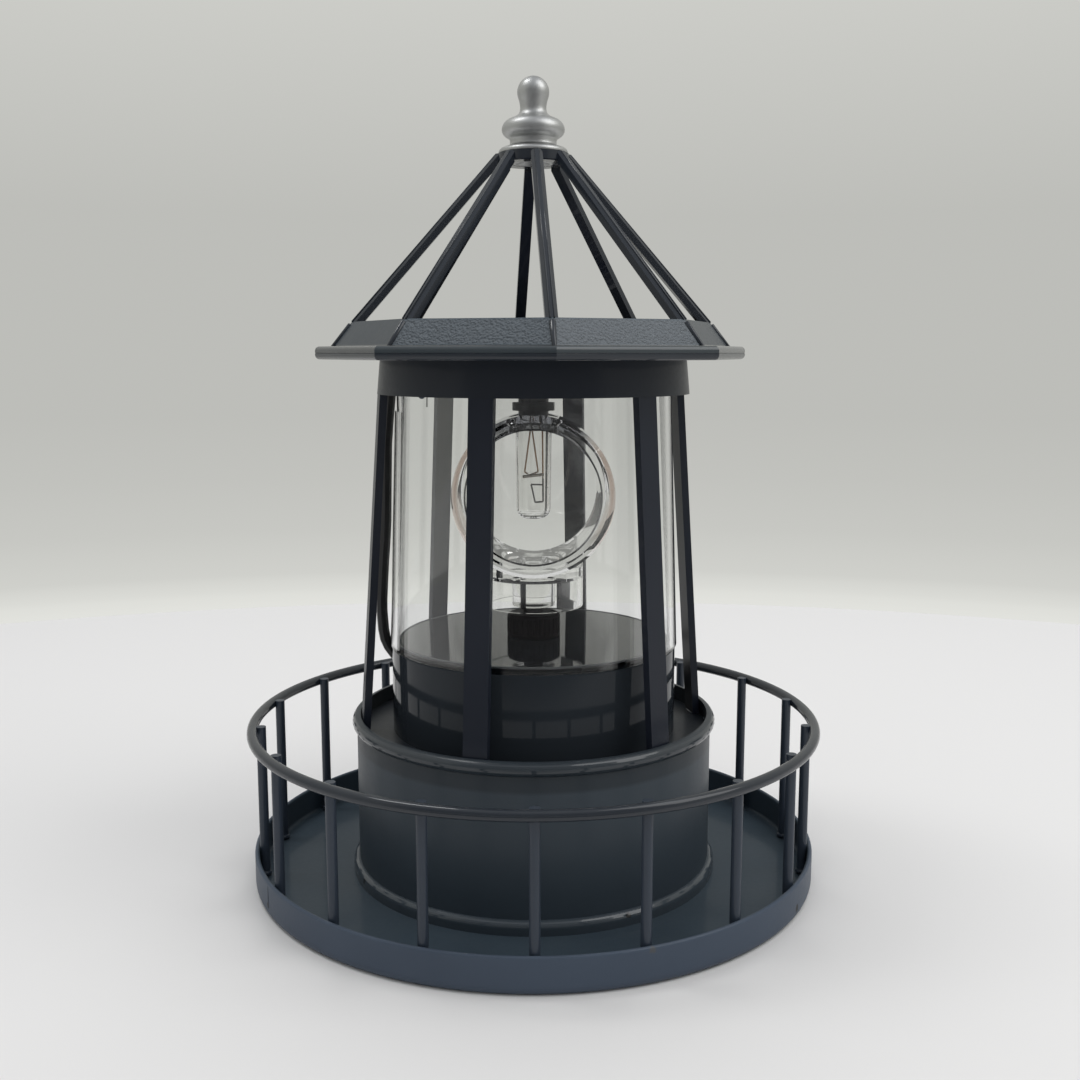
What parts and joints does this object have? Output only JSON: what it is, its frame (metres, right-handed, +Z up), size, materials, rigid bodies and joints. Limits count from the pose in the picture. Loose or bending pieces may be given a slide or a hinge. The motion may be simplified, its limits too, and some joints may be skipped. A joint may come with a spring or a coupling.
{
  "type": "lighthouse garden light",
  "caption": "Free-standing solar garden light shaped like a lighthouse lantern room, with a railed deck, a caged clear lantern, a turning lens and an open ribbed roof.",
  "frame": {"origin": "centre of the deck's flat underside, where the light stands", "axes": "+Z up along the tower's axis, -Y towards the viewer, the cable on the -X side"},
  "size_m": [0.15, 0.15, 0.205],
  "materials": {
    "dark_paint": "satin blue-black paint",
    "gloss_black": "glossy black plastic",
    "matte_black": "matte black plastic",
    "clear_plastic": "clear polished plastic",
    "bulb_glass": "clear glass",
    "copper_wire": "bare copper wire",
    "silver_metal": "satin silver",
    "steel": "plain steel",
    "cable_sheath": "black cable sheath",
    "board_green": "green circuit board",
    "cell_sleeve": "plain printed sleeve without marks",
    "solar_cells": "dark blue cells under clear resin"
  },
  "bodies": {
    "frame": {"deck": "dark_paint", "rail": "dark_paint", "baluster_01": "dark_paint", "baluster_02": "dark_paint", "baluster_03": "dark_paint", "baluster_04": "dark_paint", "baluster_05": "dark_paint", "baluster_06": "dark_paint", "baluster_07": "dark_paint", "baluster_08": "dark_paint", "baluster_09": "dark_paint", "baluster_10": "dark_paint", "baluster_11": "dark_paint", "baluster_12": "dark_paint", "baluster_13": "dark_paint", "baluster_14": "dark_paint", "baluster_15": "dark_paint", "baluster_16": "dark_paint", "baluster_17": "dark_paint", "baluster_18": "dark_paint", "drum": "dark_paint", "cage_post_1": "dark_paint", "cage_post_2": "dark_paint", "cage_post_3": "dark_paint", "cage_post_4": "dark_paint", "cage_post_5": "dark_paint", "cage_post_6": "dark_paint", "motor_housing": "gloss_black", "housing_lid": "gloss_black", "motor": "steel", "clear_tube": "clear_plastic", "power_cable": "cable_sheath", "lamp_socket": "matte_black", "socket_nut": "steel", "bulb_glass": "bulb_glass", "bulb_filament": "copper_wire", "top_collar": "dark_paint", "ceiling_plate": "dark_paint", "circuit_board": "board_green", "battery_holder": "matte_black", "battery": "cell_sleeve", "switch_body": "matte_black", "roof_band": "dark_paint", "solar_bezel": "gloss_black", "solar_panel": "solar_cells", "roof_rib_1": "dark_paint", "roof_rib_2": "dark_paint", "roof_rib_3": "dark_paint", "roof_rib_4": "dark_paint", "roof_rib_5": "dark_paint", "roof_rib_6": "dark_paint", "roof_rib_7": "dark_paint", "roof_rib_8": "dark_paint", "apex_ring": "dark_paint", "finial": "silver_metal", "screws": "steel"},
    "rotor": {"motor_shaft": "steel", "drive_hub": "matte_black", "lens_carrier": "clear_plastic"},
    "switch": {"switch_slider": "matte_black"}
  },
  "joints": [
    {"name": "lens_spin", "type": "hinge", "parent": "frame", "child": "rotor", "pos_m": [0, 0, 0.063], "axis": [0, 0, 1], "continuous": true},
    {"name": "switch_slide", "type": "slide", "parent": "frame", "child": "switch", "axis": [-0.9563, 0.2924, 0], "range_m": [0, 0.003]}
  ]
}
